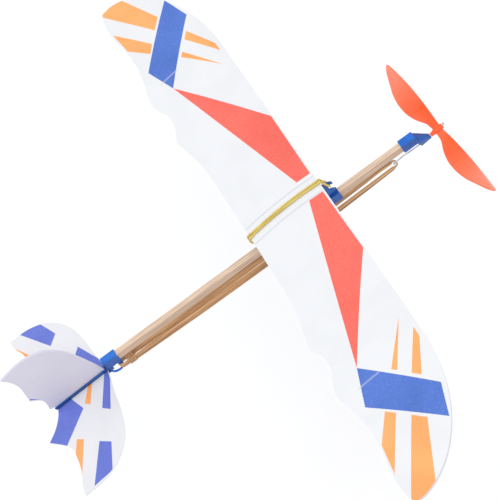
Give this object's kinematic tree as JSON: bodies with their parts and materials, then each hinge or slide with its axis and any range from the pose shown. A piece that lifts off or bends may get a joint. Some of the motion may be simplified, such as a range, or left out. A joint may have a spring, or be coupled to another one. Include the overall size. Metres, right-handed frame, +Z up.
{
  "type": "rubber band plane",
  "caption": "Toy plane with a foam wing and tail, a wooden stick, and a two-bladed propeller turned by a twisted rubber motor; the wing slides along the stick for trim.",
  "frame": {"origin": "middle of the whole plane's bounding box at rest", "axes": "+X forwards to the nose, +Y to the port wing tip, +Z up"},
  "size_m": [0.3701, 0.4954, 0.0977],
  "materials": {
    "motor_stick": "sanded bare pine",
    "nose_bearing": "moulded blue plastic",
    "tail_mount": "moulded blue plastic",
    "wing_mount": "moulded blue plastic",
    "prop_shaft": "drawn steel wire",
    "propeller": "moulded orange plastic",
    "rubber_loop_upper": "brown contest rubber",
    "rubber_loop_lower": "brown contest rubber",
    "rubber_tie": "light brown rubber ring",
    "wing": "white foam sheet with printed patches",
    "stabilizer": "white foam sheet with printed patches",
    "fin": "white foam sheet",
    "wing_band": "yellow rubber band"
  },
  "bodies": {
    "airframe": {"motor_stick": "motor_stick", "nose_bearing": "nose_bearing", "tail_mount": "tail_mount", "fin": "fin", "stabilizer": "stabilizer", "rubber_loop_upper": "rubber_loop_upper", "rubber_loop_lower": "rubber_loop_lower", "rubber_tie": "rubber_tie"},
    "prop_unit": {"propeller": "propeller", "prop_shaft": "prop_shaft"},
    "wing_unit": {"wing": "wing", "wing_mount": "wing_mount", "wing_band": "wing_band"}
  },
  "joints": [
    {"name": "prop_spin", "type": "hinge", "parent": "airframe", "child": "prop_unit", "pos_m": [0.18016, 0.00076, -0.02384], "axis": [0.9973, 0.0523, 0.0523], "continuous": true, "deforming": ["rubber_loop_upper", "rubber_loop_lower"]},
    {"name": "wing_trim", "type": "slide", "parent": "airframe", "child": "wing_unit", "axis": [1, 0, 0], "range_m": [-0.13, 0.05]}
  ]
}
